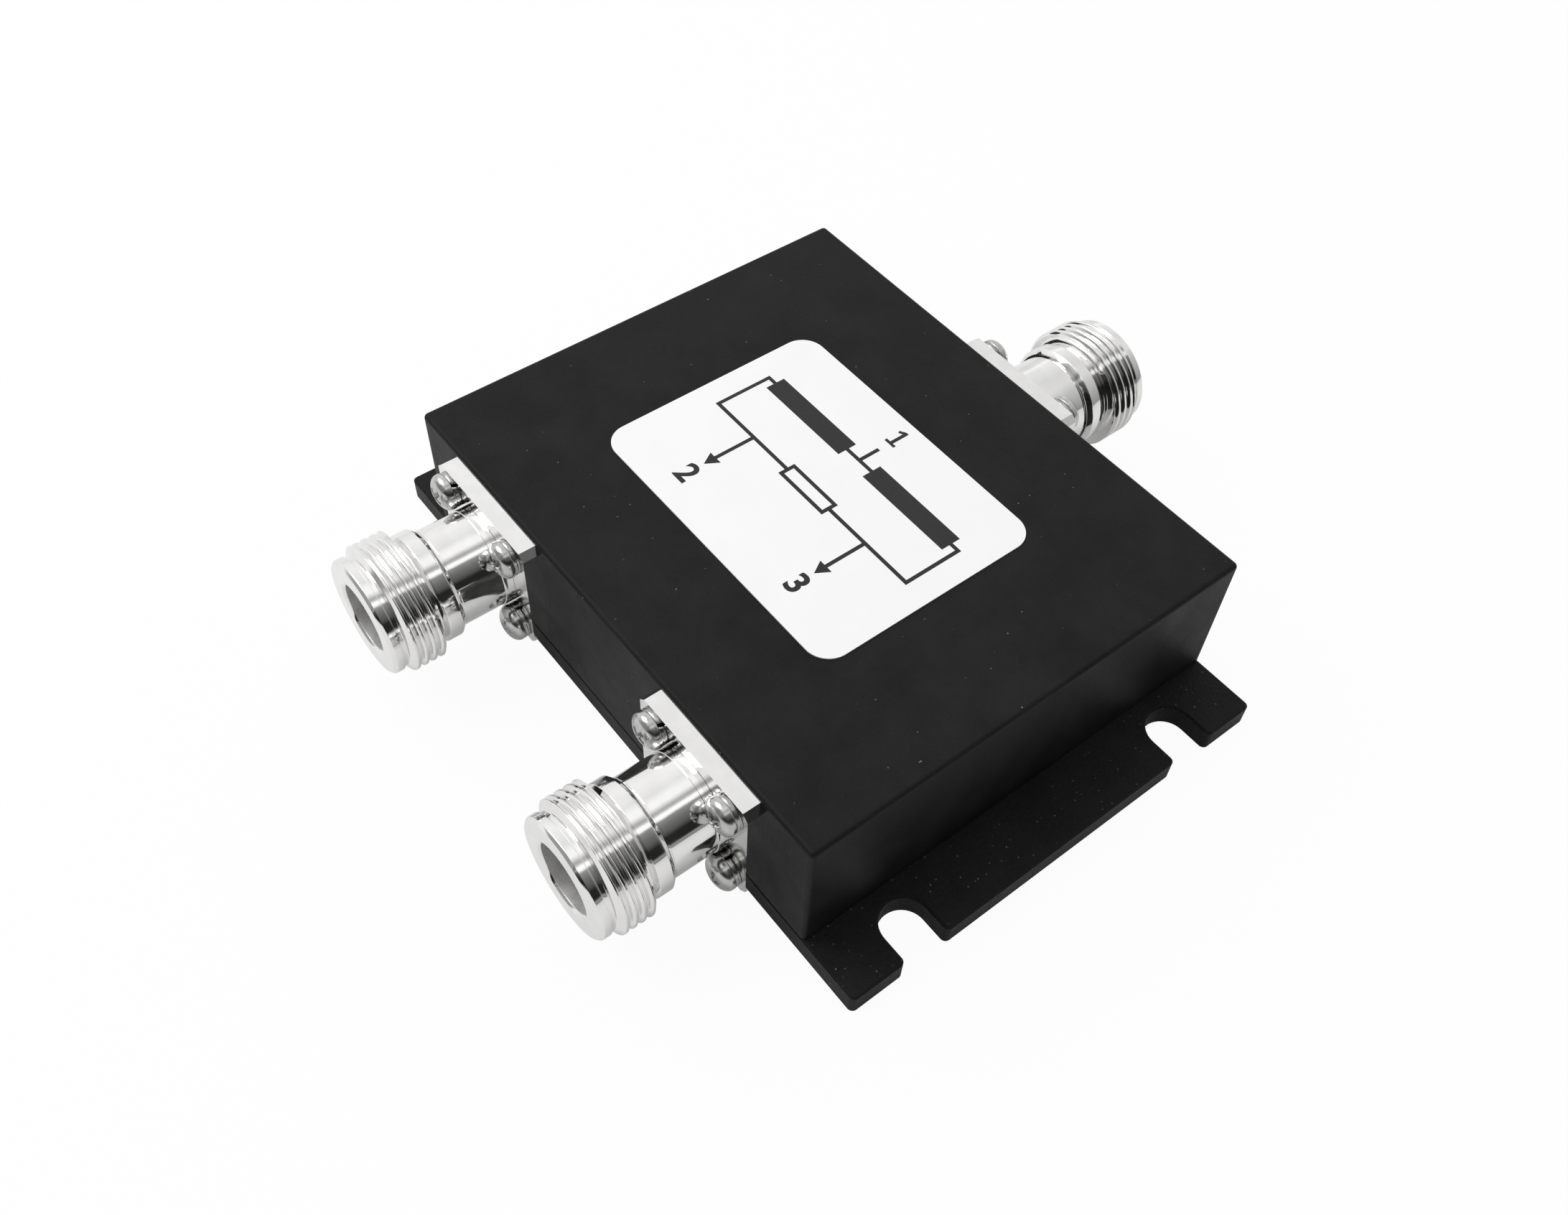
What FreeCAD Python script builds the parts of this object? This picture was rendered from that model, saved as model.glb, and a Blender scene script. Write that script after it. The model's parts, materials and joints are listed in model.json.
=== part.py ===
"""Two-way radio frequency power splitter with three threaded coaxial connectors.

Millimetres. +X runs along the side with the two outputs, +Y points to the input and +Z is up.
The origin is the centre of the base plate's underside.
"""
import FreeCAD, Part
import math
import os

V = FreeCAD.Vector

# Housing: a milled block, open below, with a pocket for the circuit board
body_length = 73.9
body_width = 61.4
housing_height = 18.2
end_wall = 6.5
connector_wall = 6.5
pocket_corner_radius = 4.0
edge_round = 0.6
seam_chamfer = 0.25

# Base plate with an ear at each end and open slots for the mounting bolts
plate_thickness = 3.0
ear_length = 8.2
plate_corner_round = 0.7
slot_width = 5.8
slot_depth = 6.4
slot_spacing = 41.2

# Countersunk screws that hold the plate to the housing
plate_screw_radius = 1.5
plate_screw_length = 8.0
plate_screw_head_radius = 2.7
plate_screw_head_height = 1.2
plate_screw_sink = 0.15
plate_screw_inset = 3.6
plate_hole_clearance = 0.1
tap_clearance = 0.03
tap_run_out = 1.8

# Label on the housing's top
label_length = 41.5
label_width = 31.0
label_thickness = 0.15
label_corner_radius = 3.0
label_shift = (-0.4, -0.4)

# Places of the connectors
connector_spacing = 41.0
axis_height = 12.7

# Connector flange and the screws through it
flange_width = 18.4
flange_height = 15.8
flange_thickness = 2.2
flange_chamfer = 0.8
flange_screw_spacing = 12.7
flange_screw_rise = 11.4
flange_screw_radius = 1.25
flange_screw_grip = 5.0
flange_hole_clearance = 0.2
pan_head_radius = 2.25
pan_head_height = 1.7
pan_head_rim = 0.6
recess_width = 0.55
recess_length = 2.6
recess_depth = 0.9
washer_radius = 2.2
washer_thickness = 0.6
washer_split = 0.35

# Turned outside of a connector: radii, and lengths measured along its axis
barrel_radius = 6.05
barrel_length = 6.65
relief_depth = 0.2
relief_length = 0.3
collar_radius = 6.8
collar_length = 2.45
undercut_radius = 6.5
undercut_length = 0.8
thread_radius = 7.9375
thread_pitch = 1.058
thread_depth = 0.65
thread_turns = 4
thread_length = 5.0
pilot_radius = 7.2
pilot_length = 1.3
turned_chamfer = 0.35

# Inside of a connector
spigot_radius = 5.0
spigot_length = 3.0
socket_bore_radius = 4.2
socket_bore_depth = 9.1
socket_mouth_chamfer = 0.3
insulator_radius = 3.25
insulator_collar_radius = 4.0
insulator_collar_length = 1.2
insulator_step = 1.5
insulator_tail_radius = 2.1
insulator_clearance = 0.05
contact_clearance = 0.02
contact_radius = 1.52
contact_reach = 5.0
contact_bore_radius = 0.83
contact_bore_depth = 4.6
contact_slit_width = 0.3
contact_slit_depth = 4.0
contact_waist_radius = 1.0
tail_radius = 0.65
tail_reach = 3.0

# Circuit board, screwed copper side down to the pocket's ceiling
board_gap = 0.4
board_thickness = 1.6
board_screw_radius = 1.25
board_screw_length = 5.6
board_screw_inset = 3.4
board_hole_clearance = 0.1
copper_thickness = 0.1
line_width = 3.0
arm_width = 1.6
feed_length = 7.85
arm_margin = 7.6
arm_inner = 3.4
arm_pitch = 4.6
arm_runs = 4
output_line_drop = 6.6
resistor_length = 6.3
resistor_width = 3.2
resistor_height = 0.7
resistor_cap = 0.55
resistor_waist = 0.08
solder_film = 0.08
solder_base = 2.8
solder_length = 2.4
solder_wrap = 0.35

# Values worked out from the sizes above
half_length = body_length / 2
half_width = body_width / 2
plate_half_length = half_length + ear_length
housing_top = plate_thickness + housing_height
pocket_half_length = half_length - end_wall
pocket_half_width = half_width - connector_wall
copper_low = axis_height + tail_radius + solder_film
board_low = copper_low + copper_thickness
pocket_ceiling = board_low + board_thickness
board_half_length = pocket_half_length - board_gap
board_half_width = pocket_half_width - board_gap
arm_start = board_half_width - feed_length
arm_reach = board_half_length - arm_margin
arm_end = arm_start - arm_runs * arm_pitch
barrel_end = flange_thickness + barrel_length
collar_end = barrel_end + collar_length
thread_start = collar_end + undercut_length
thread_end = thread_start + thread_length
front_face = thread_end + pilot_length
bore_floor = front_face - socket_bore_depth
spigot_start = barrel_end - spigot_length
insulator_collar_start = spigot_start - insulator_collar_length
contact_tip = bore_floor + contact_reach
tail_end = -connector_wall - tail_reach


def block(low, high):
    """Box between two corners."""
    size = high - low
    return Part.makeBox(size.x, size.y, size.z, low)


def rounded_slab(half_x, half_y, z_low, z_high, radius):
    """Upright slab centred on the Z axis, with its four upright edges rounded."""
    slab = block(V(-half_x, -half_y, z_low), V(half_x, half_y, z_high))
    return slab.makeFillet(radius, upright_edges(slab))


def upright_edges(shape):
    """Edges that run along Z."""
    return [e for e in shape.Edges if abs(e.tangentAt(e.FirstParameter).z) > 0.999]


def edges_at_height(shape, z):
    """Edges that lie flat at one height."""
    return [e for e in shape.Edges if abs(e.BoundBox.ZMin - z) < 1e-4 and abs(e.BoundBox.ZMax - z) < 1e-4]


def turned(profile):
    """Solid turned about the Z axis from a closed outline of (radius, height) points."""
    outline = [V(r, 0, h) for r, h in profile]
    face = Part.Face(Part.makePolygon(outline + outline[:1]))
    return face.revolve(V(0, 0, 0), V(0, 0, 1), 360)


def group(solids):
    """Separate solids kept together as one sub-part."""
    return Part.makeCompound(solids)


def mirrored_positions(x, y):
    """The four places at plus and minus x and y."""
    return [(sx * x, sy * y) for sx in (-1, 1) for sy in (-1, 1)]


def place_connector_piece(piece, side, x):
    """Move a piece from the connector's own frame, with Z outwards and Y up, to its wall."""
    placed = piece.copy()
    placed.rotate(V(0, 0, 0), V(1, 0, 0), 90)
    if side > 0:
        placed.rotate(V(0, 0, 0), V(0, 0, 1), 180)
    placed.translate(V(x, side * half_width, axis_height))
    return placed


def connector_places():
    """Name, wall and X position of each connector."""
    return [
        ("input", 1, 0.0),
        ("output_1", -1, -connector_spacing / 2),
        ("output_2", -1, connector_spacing / 2),
    ]


def plate_screw_places():
    return mirrored_positions(half_length - plate_screw_inset, half_width - plate_screw_inset)


def board_screw_places():
    """Two outside the input line and two between the output lines."""
    y = board_half_width - board_screw_inset
    outer = connector_spacing / 2
    inner = connector_spacing / 4
    return [(-outer, y), (outer, y), (-inner, -y), (inner, -y)]


def flange_screw_places():
    return mirrored_positions(flange_screw_spacing / 2, flange_screw_rise / 2)


def drill_for_connector():
    """Holes that one connector needs in the housing wall, in the connector's own frame."""
    insulator_hole = Part.makeCylinder(insulator_tail_radius + insulator_clearance, connector_wall + 1,
                                       V(0, 0, -connector_wall - 0.5))
    radius = flange_screw_radius + tap_clearance
    depth = flange_screw_grip + 0.5
    taps = [Part.makeCylinder(radius, depth + 1, V(x, y, -depth)) for x, y in flange_screw_places()]
    return group([insulator_hole] + taps)


def make_housing():
    shell = rounded_slab(half_length, half_width, plate_thickness, housing_top, edge_round)
    shell = shell.makeFillet(edge_round * 0.95, edges_at_height(shell, housing_top))
    shell = shell.makeChamfer(seam_chamfer, edges_at_height(shell, plate_thickness))
    pocket = rounded_slab(pocket_half_length, pocket_half_width, plate_thickness - 1, pocket_ceiling,
                          pocket_corner_radius)
    cutters = [pocket]
    tap_length = plate_screw_sink + plate_screw_length + tap_run_out - plate_thickness
    for x, y in plate_screw_places():
        cutters.append(Part.makeCylinder(plate_screw_radius + tap_clearance, tap_length + 1,
                                         V(x, y, plate_thickness - 1)))
    board_tap = board_screw_length - board_thickness + 0.6
    for x, y in board_screw_places():
        cutters.append(Part.makeCylinder(board_screw_radius + tap_clearance, board_tap + 1,
                                         V(x, y, pocket_ceiling - 1)))
    for name, side, x in connector_places():
        cutters.extend(place_connector_piece(drill_for_connector(), side, x).Solids)
    return shell.cut(cutters)


def slot_cutter(end, y):
    """Open slot with a round inner end, for one mounting bolt."""
    radius = slot_width / 2
    centre = plate_half_length - slot_depth + radius
    low, high = -1.0, plate_thickness + 1.0
    round_end = Part.makeCylinder(radius, high - low, V(centre, y, low))
    mouth = block(V(centre, y - radius, low), V(plate_half_length + 1, y + radius, high))
    cutter = round_end.fuse(mouth).removeSplitter()
    if end < 0:
        cutter = cutter.mirror(V(0, 0, 0), V(1, 0, 0))
    return cutter


def make_base_plate():
    plate = block(V(-plate_half_length, -half_width, 0), V(plate_half_length, half_width, plate_thickness))
    for end in (-1, 1):
        for y in (-slot_spacing / 2, slot_spacing / 2):
            plate = plate.cut(slot_cutter(end, y))
    outer = [e for e in upright_edges(plate) if abs(abs(e.CenterOfMass.x) - plate_half_length) < 0.01]
    plate = plate.makeFillet(plate_corner_round, outer)
    plate = plate.makeChamfer(seam_chamfer, edges_at_height(plate, plate_thickness))
    hole_radius = plate_screw_radius + plate_hole_clearance
    sink_radius = plate_screw_head_radius + plate_hole_clearance
    sink_floor = plate_screw_sink + plate_screw_head_height
    drill = turned([(0, -1), (sink_radius, -1), (sink_radius, plate_screw_sink), (hole_radius, sink_floor),
                    (hole_radius, plate_thickness + 1), (0, plate_thickness + 1)])
    for x, y in plate_screw_places():
        hole = drill.copy()
        hole.translate(V(x, y, 0))
        plate = plate.cut(hole)
    return plate


def cross_recess(face, inward):
    """Cross-shaped driver recess that starts at a height and goes inward along Z."""
    arm = Part.makeBox(recess_length, recess_width, recess_depth + 1,
                       V(-recess_length / 2, -recess_width / 2, 0))
    other = arm.copy()
    other.rotate(V(0, 0, 0), V(0, 0, 1), 90)
    recess = arm.fuse(other).removeSplitter()
    start = face - 1 if inward > 0 else face - recess_depth
    recess.translate(V(0, 0, start))
    return recess


def make_plate_screws():
    """Countersunk screws, their heads just below the plate's underside."""
    base = plate_screw_sink
    neck = base + plate_screw_head_height
    tip = base + plate_screw_length
    screw = turned([(0, base), (plate_screw_head_radius, base), (plate_screw_radius, neck),
                    (plate_screw_radius, tip), (0, tip)])
    screw = screw.cut(cross_recess(base, 1))
    solids = []
    for x, y in plate_screw_places():
        copy = screw.copy()
        copy.translate(V(x, y, 0))
        solids.append(copy)
    return group(solids)


def pan_head_screw(radius, under_head, tip):
    """Pan-head screw along Z: the head stands above the seat, the shank ends at the tip."""
    rim = under_head + pan_head_rim
    top = under_head + pan_head_height
    screw = turned([
        (0, tip), (radius, tip), (radius, under_head), (pan_head_radius, under_head), (pan_head_radius, rim),
        (pan_head_radius * 0.87, rim + (top - rim) * 0.72), (pan_head_radius * 0.6, top), (0, top),
    ])
    return screw.cut(cross_recess(top, -1))


def make_board_screws():
    """Pan-head screws that hold the board up against the pocket's ceiling."""
    screw = pan_head_screw(board_screw_radius, 0, -board_screw_length)
    screw.rotate(V(0, 0, 0), V(1, 0, 0), 180)
    solids = []
    for x, y in board_screw_places():
        copy = screw.copy()
        copy.translate(V(x, y, board_low))
        solids.append(copy)
    return group(solids)


def make_label():
    label = rounded_slab(label_length / 2, label_width / 2, housing_top, housing_top + label_thickness,
                         label_corner_radius)
    label.translate(V(*label_shift, 0))
    return label


def make_circuit_board():
    board = rounded_slab(board_half_length, board_half_width, board_low, pocket_ceiling,
                         pocket_corner_radius - board_gap)
    radius = board_screw_radius + board_hole_clearance
    holes = [Part.makeCylinder(radius, board_thickness + 2, V(x, y, board_low - 1))
             for x, y in board_screw_places()]
    return board.cut(holes)


def strip(points, width):
    """Flat copper line of one width along a path of straight runs, round at its corners."""
    pieces = []
    for (x0, y0), (x1, y1) in zip(points, points[1:]):
        along_x = abs(x1 - x0) > abs(y1 - y0)
        grow = V(0, width / 2, 0) if along_x else V(width / 2, 0, 0)
        low = V(min(x0, x1), min(y0, y1), copper_low) - grow
        high = V(max(x0, x1), max(y0, y1), board_low) + grow
        pieces.append(block(low, high))
    for x, y in points[1:-1]:
        pieces.append(Part.makeCylinder(width / 2, copper_thickness, V(x, y, copper_low)))
    return pieces


def arm_path():
    """Quarter-wave arm on the +X side, folded to and fro across its half of the board."""
    points = [(0.0, arm_start)]
    for run in range(arm_runs):
        y = arm_start - run * arm_pitch
        x = arm_reach if run % 2 == 0 else arm_inner
        points.append((x, y))
        points.append((x, y - arm_pitch))
    return points


def make_splitter_track():
    """Input line, the two folded arms and the two output lines, etched as one copper pattern."""
    pieces = strip([(0.0, board_half_width), (0.0, arm_start)], line_width)
    output_x = connector_spacing / 2
    turn_y = arm_end - output_line_drop
    output_path = [(arm_inner, arm_end + resistor_width / 2), (arm_inner, turn_y), (output_x, turn_y),
                   (output_x, -board_half_width)]
    half = strip(arm_path(), arm_width) + strip(output_path, line_width)
    for piece in half:
        pieces.append(piece)
        pieces.append(piece.mirror(V(0, 0, 0), V(1, 0, 0)))
    return pieces[0].fuse(pieces[1:]).removeSplitter()


def make_isolation_resistor():
    """Flat chip resistor soldered across the ends of the two arms."""
    half_x, half_y = resistor_length / 2, resistor_width / 2
    chip = block(V(-half_x, arm_end - half_y, copper_low - resistor_height),
                 V(half_x, arm_end + half_y, copper_low))
    waist_x = half_x - resistor_cap
    for z_low, z_high in ((copper_low - resistor_waist, copper_low + 1),
                          (copper_low - resistor_height - 1, copper_low - resistor_height + resistor_waist)):
        chip = chip.cut(block(V(-waist_x, arm_end - half_y - 1, z_low), V(waist_x, arm_end + half_y + 1, z_high)))
    return chip


def make_flange_body():
    """Flange and barrel, turned and milled from one piece, bored for the insulator."""
    half_x, half_y = flange_width / 2, flange_height / 2
    flange = block(V(-half_x, -half_y, 0), V(half_x, half_y, flange_thickness))
    flange = flange.makeChamfer(flange_chamfer, upright_edges(flange))
    relief_start = barrel_end - relief_length
    barrel = turned([(0, 0), (barrel_radius, 0), (barrel_radius, relief_start),
                     (barrel_radius - relief_depth, relief_start), (barrel_radius - relief_depth, barrel_end),
                     (0, barrel_end)])
    tail_bore = insulator_tail_radius + insulator_clearance
    bead_bore = insulator_radius + insulator_clearance
    collar_bore = insulator_collar_radius + insulator_clearance
    bore = turned([(0, -1), (tail_bore, -1), (tail_bore, insulator_step), (bead_bore, insulator_step),
                   (bead_bore, insulator_collar_start), (collar_bore, insulator_collar_start),
                   (collar_bore, spigot_start), (spigot_radius, spigot_start),
                   (spigot_radius, barrel_end + 1), (0, barrel_end + 1)])
    hole_radius = flange_screw_radius + flange_hole_clearance
    holes = [Part.makeCylinder(hole_radius, flange_thickness + 2, V(x, y, -1)) for x, y in flange_screw_places()]
    return flange.fuse(barrel).removeSplitter().cut([bore] + holes)


def thread_outline():
    """Crests and roots of the coupling thread, from its inner to its outer end."""
    crest = thread_pitch / 4
    flank = (thread_pitch - crest) / 2
    root_radius = thread_radius - thread_depth
    points = [(root_radius, thread_start), (thread_radius, thread_start + flank)]
    h = thread_start + flank
    for turn in range(thread_turns):
        points.append((thread_radius, h + crest))
        points.append((root_radius, h + crest + flank))
        h = h + thread_pitch
        points.append((thread_radius, h))
    points.append((thread_radius, thread_end - turned_chamfer))
    points.append((thread_radius - turned_chamfer, thread_end))
    return points


def make_front_shell():
    """Threaded outer conductor: a spigot pressed into the barrel, collar, thread and pilot."""
    outside = [(spigot_radius, spigot_start), (spigot_radius, barrel_end),
               (collar_radius - turned_chamfer / 2, barrel_end),
               (collar_radius, barrel_end + turned_chamfer / 2), (collar_radius, collar_end),
               (undercut_radius, collar_end), (undercut_radius, thread_start)]
    front = [(pilot_radius, thread_end), (pilot_radius, front_face - turned_chamfer),
             (pilot_radius - turned_chamfer, front_face)]
    mouth = socket_bore_radius + socket_mouth_chamfer
    rear_bore = insulator_radius + insulator_clearance
    inside = [(mouth, front_face), (socket_bore_radius, front_face - socket_mouth_chamfer),
              (socket_bore_radius, bore_floor), (rear_bore, bore_floor), (rear_bore, spigot_start)]
    return turned(outside + thread_outline() + front + inside)


def make_insulator():
    """White dielectric bead, held between the barrel's step and the front shell."""
    waist = contact_waist_radius + contact_clearance
    tail = tail_radius + contact_clearance
    collar_end_height = spigot_start - insulator_clearance
    return turned([
        (tail, -connector_wall), (insulator_tail_radius, -connector_wall),
        (insulator_tail_radius, insulator_step), (insulator_radius, insulator_step),
        (insulator_radius, insulator_collar_start), (insulator_collar_radius, insulator_collar_start),
        (insulator_collar_radius, collar_end_height), (insulator_radius, collar_end_height),
        (insulator_radius, bore_floor), (waist, bore_floor), (waist, insulator_step), (tail, insulator_step),
    ])


def make_centre_contact():
    """Socket contact with a slit, springy mouth and a solder tail, held by a shoulder at each end of its waist."""
    lip = (contact_radius - contact_bore_radius) * 0.4
    mouth = contact_bore_radius + lip
    pin = turned([
        (0, tail_end), (tail_radius, tail_end), (tail_radius, insulator_step),
        (contact_waist_radius, insulator_step), (contact_waist_radius, bore_floor),
        (contact_radius, bore_floor), (contact_radius, contact_tip - lip), (contact_radius - lip, contact_tip),
        (mouth, contact_tip), (contact_bore_radius, contact_tip - lip),
        (contact_bore_radius, contact_tip - contact_bore_depth), (0, contact_tip - contact_bore_depth),
    ])
    reach = contact_radius + 1
    slit = Part.makeBox(2 * reach, contact_slit_width, contact_slit_depth + 1,
                        V(-reach, -contact_slit_width / 2, contact_tip - contact_slit_depth))
    slits = []
    for angle in (45, 135):
        turned_slit = slit.copy()
        turned_slit.rotate(V(0, 0, 0), V(0, 0, 1), angle)
        slits.append(turned_slit)
    return pin.cut(slits)


def make_flange_screws():
    under_head = flange_thickness + washer_thickness
    screw = pan_head_screw(flange_screw_radius, under_head, -flange_screw_grip)
    solids = []
    for index, (x, y) in enumerate(flange_screw_places()):
        copy = screw.copy()
        copy.rotate(V(0, 0, 0), V(0, 0, 1), 20 + 35 * index)
        copy.translate(V(x, y, 0))
        solids.append(copy)
    return group(solids)


def make_lock_washers():
    """Split spring washers under the flange screw heads."""
    inner = flange_screw_radius + tap_clearance * 2
    ring = turned([(inner, flange_thickness), (washer_radius, flange_thickness),
                   (washer_radius, flange_thickness + washer_thickness),
                   (inner, flange_thickness + washer_thickness)])
    split = Part.makeBox(washer_radius + 1, washer_split, washer_thickness + 2,
                         V(0, -washer_split / 2, flange_thickness - 1))
    ring = ring.cut(split)
    solids = []
    for index, (x, y) in enumerate(flange_screw_places()):
        copy = ring.copy()
        copy.rotate(V(0, 0, 0), V(0, 0, 1), 60 + 75 * index)
        copy.translate(V(x, y, 0))
        solids.append(copy)
    return group(solids)


def make_solder_joint():
    """Solder that wets the copper line and wraps the contact's tail."""
    line_height = tail_radius + solder_film
    half = solder_base / 2
    low = -tail_radius - solder_wrap
    waist = V(-half * 0.55, tail_radius * 0.1, 0)
    outline = [
        Part.LineSegment(V(half, line_height, 0), V(-half, line_height, 0)),
        Part.Arc(V(-half, line_height, 0), waist, V(-tail_radius * 0.8, low, 0)),
        Part.LineSegment(V(-tail_radius * 0.8, low, 0), V(tail_radius * 0.8, low, 0)),
        Part.Arc(V(tail_radius * 0.8, low, 0), V(-waist.x, waist.y, 0), V(half, line_height, 0)),
    ]
    wire = Part.Wire([segment.toShape() for segment in outline])
    start = -connector_wall - board_gap - solder_length
    mound = Part.Face(wire).extrude(V(0, 0, solder_length))
    mound.translate(V(0, 0, start))
    tail = Part.makeCylinder(tail_radius, solder_length + 2, V(0, 0, start - 1))
    return mound.cut(tail)


def make_parts():
    """Every sub-part by name."""
    parts = {
        "housing": make_housing(),
        "base_plate": make_base_plate(),
        "base_plate_screws": make_plate_screws(),
        "label": make_label(),
        "circuit_board": make_circuit_board(),
        "board_screws": make_board_screws(),
        "splitter_track": make_splitter_track(),
        "isolation_resistor": make_isolation_resistor(),
    }
    connector_pieces = {
        "flange_body": make_flange_body(),
        "front_shell": make_front_shell(),
        "insulator": make_insulator(),
        "centre_contact": make_centre_contact(),
        "flange_screws": make_flange_screws(),
        "lock_washers": make_lock_washers(),
        "solder_joint": make_solder_joint(),
    }
    for connector, side, x in connector_places():
        for name, piece in connector_pieces.items():
            parts[connector + "_" + name] = place_connector_piece(piece, side, x)
    return parts


def main():
    os.makedirs("parts", exist_ok=True)
    for name, shape in make_parts().items():
        if not shape.isValid():
            raise ValueError(name + " is not a valid shape")
        shape.exportStep(os.path.join("parts", name + ".step"))
        print(name, len(shape.Solids), "solids", round(shape.Volume, 2), "mm3")


main()
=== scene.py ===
"""Looks of a two-way radio frequency power splitter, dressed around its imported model.

Metres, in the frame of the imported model: +X along the two outputs, +Y to the input, +Z up.
"""
import json
import math

import bmesh
import bpy
from mathutils import Matrix, Vector


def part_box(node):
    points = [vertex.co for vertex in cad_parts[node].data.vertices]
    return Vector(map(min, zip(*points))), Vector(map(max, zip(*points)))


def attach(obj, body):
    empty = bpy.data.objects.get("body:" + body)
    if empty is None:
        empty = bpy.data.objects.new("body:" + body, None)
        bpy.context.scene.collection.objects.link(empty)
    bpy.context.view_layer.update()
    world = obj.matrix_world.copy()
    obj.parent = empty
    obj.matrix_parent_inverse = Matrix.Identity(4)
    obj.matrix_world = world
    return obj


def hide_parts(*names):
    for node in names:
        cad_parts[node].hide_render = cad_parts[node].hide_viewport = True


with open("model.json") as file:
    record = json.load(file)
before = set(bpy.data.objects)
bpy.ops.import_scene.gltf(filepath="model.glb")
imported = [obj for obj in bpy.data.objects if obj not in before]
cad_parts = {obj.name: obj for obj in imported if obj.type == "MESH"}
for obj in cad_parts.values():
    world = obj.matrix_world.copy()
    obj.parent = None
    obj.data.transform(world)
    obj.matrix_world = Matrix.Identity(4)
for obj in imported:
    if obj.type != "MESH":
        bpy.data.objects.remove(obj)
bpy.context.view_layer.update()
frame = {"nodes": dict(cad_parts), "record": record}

MM = 0.001

# Camera of the photograph
camera_place = Vector((86.46, -78.99, 146.91)) * MM
camera_azimuth = 49.163
camera_elevation = 51.758
camera_roll = 3.482
camera_lens = 34.167
sensor_width = 36.0
near_clip = 0.005
far_clip = 20.0

# Turned pieces
turn_steps = 144
corner_steps = 3
corner_reach = 0.4
turned_round = 0.07 * MM
weld_distance = 1e-7
shortest_edge = 1e-8

# Outside of a connector's front shell, measured inwards from its front face
front_chamfer = 0.35 * MM
pilot_length = 1.3 * MM
pilot_radius = 7.2 * MM
relief_length = 0.85 * MM
relief_radius = 6.95 * MM
relief_slope = 0.3 * MM
undercut_length = 0.8 * MM
undercut_radius = 6.2 * MM
collar_chamfer = 0.25 * MM
collar_rear_chamfer = 0.55 * MM
collar_length = 2.45 * MM
collar_radius = 6.8 * MM
spigot_radius = 5.0 * MM
bore_radius = 4.2 * MM
bore_depth = 9.1 * MM
bore_edge = 0.02 * MM
mouth_chamfer = 0.3 * MM
rear_bore_radius = 3.3 * MM

# Coupling thread: the groove's section is part straight V and part cosine
thread_length = 5.0 * MM
thread_pitch = 1.058 * MM
thread_depth = 0.48 * MM
thread_land = 0.4 * MM
thread_run_out = 0.3 * MM
groove_half_width = 0.40
groove_straightness = 0.45
rows_per_pitch = 20
spare_turns = 3

# Raised ring at the barrel's foot
hub_length = 1.2 * MM
hub_radius = 6.17 * MM
hub_inner_radius = 5.95 * MM

# Flange screws
flange_thickness = 2.2 * MM
screw_spacing = 12.7 * MM
screw_rise = 11.4 * MM
screw_grip = 5.0 * MM
screw_radius = 1.25 * MM
screw_tip_radius = 0.75 * screw_radius
screw_tip_depth = 1.04 * screw_grip
first_screw_turn = 20.0
screw_turn_step = 35.0
head_radius = 2.25 * MM
head_height = 1.7 * MM
head_rim = 0.45 * MM
head_side = 0.5 * head_rim
head_edge = 0.15 * head_rim
head_rows = 40
head_row_spread = 0.9
head_steps = 96
dome_power = 2.1
recess_half_length = 1.10 * MM
recess_half_width = 0.25 * MM
recess_depth = 0.95 * MM
recess_end_depth = 0.45 * MM
recess_wall = 0.05 * MM

# Lock washers: the cut's slant is a share of its gap
washer_radius = 2.2 * MM
washer_bore_radius = 1.31 * MM
washer_thickness = 0.6 * MM
washer_edge = 0.12 * washer_thickness
washer_gap_degrees = 12.0
washer_cut_slant = 0.5
washer_set = 0.05 * MM
washer_steps = 64

# Print on the label
print_thickness = 0.012 * MM
numeral_size = 4.2 * MM
numeral_weight = 0.11 * MM
numeral_curve_steps = 8

# Layout of the print, in mm from the label's middle
print_line = 0.5
diagram_top = 6.7
diagram_low = -1.0
feed_top = 9.7
section_start, section_end, section_half_height = 2.2, 16.0, 1.35
outer_x = 17.2
output_x = 10.2
resistor_half_length, resistor_half_height = 4.0, 1.2
arrow_top, arrow_length, arrow_half_width = -6.6, 1.7, 1.0
numeral_top_y = 12.7
numeral_low_y = -10.8
figure_one = [
    (-0.8, -1.45), (0.8, -1.45), (0.8, -1.05), (0.27, -1.05), (0.27, 1.45), (-0.15, 1.45),
    (-0.9, 0.95), (-0.68, 0.62), (-0.2, 0.92), (-0.2, -1.05), (-0.8, -1.05),
]

# Black coat: its tones, the colour of its painted glints, the spacing and radius of its bright specks and of
# its sand grain (both painted glints, light caught by the grain), and of its pits
coat_dark = (0.0095, 0.0095, 0.0098)
coat_light = (0.0160, 0.0160, 0.0164)
painted_glint_colour = (0.22, 0.22, 0.22)
coat_shine = 0.085
mottling_size = 6.0 * MM
mottling_share = 0.7
glint_spacing, glint_radius, glint_onset = 1.3 * MM, 0.06 * MM, 0.02
sand_glint_spacing, sand_glint_radius, sand_glint_strength = 0.7 * MM, 0.075 * MM, 0.45
pit_spacing, pit_radius, pit_depth = 2.1 * MM, 0.11 * MM, 0.02 * MM
pit_start, pit_full = 0.55, 0.6
speck_blur = 1.6

# Bright metal
nickel_tone = (0.86, 0.855, 0.845)
nickel_smear_tone = 0.94
nickel_smear_roughness = 1.9
turning_mark_width = 0.07 * MM
turning_mark_stretch = (0.03, 1.0, 0.03)

# Studio floor, with how much of its paper gives way to plain white, by kind of ray
floor_size = 3.0
floor_paper = (0.82, 0.82, 0.82, 1.0)
floor_roughness = 0.9
floor_shine = 0.1
floor_glow = {"Is Camera Ray": 0.95, "Is Glossy Ray": 0.2, "Is Transmission Ray": 0.2}

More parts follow.
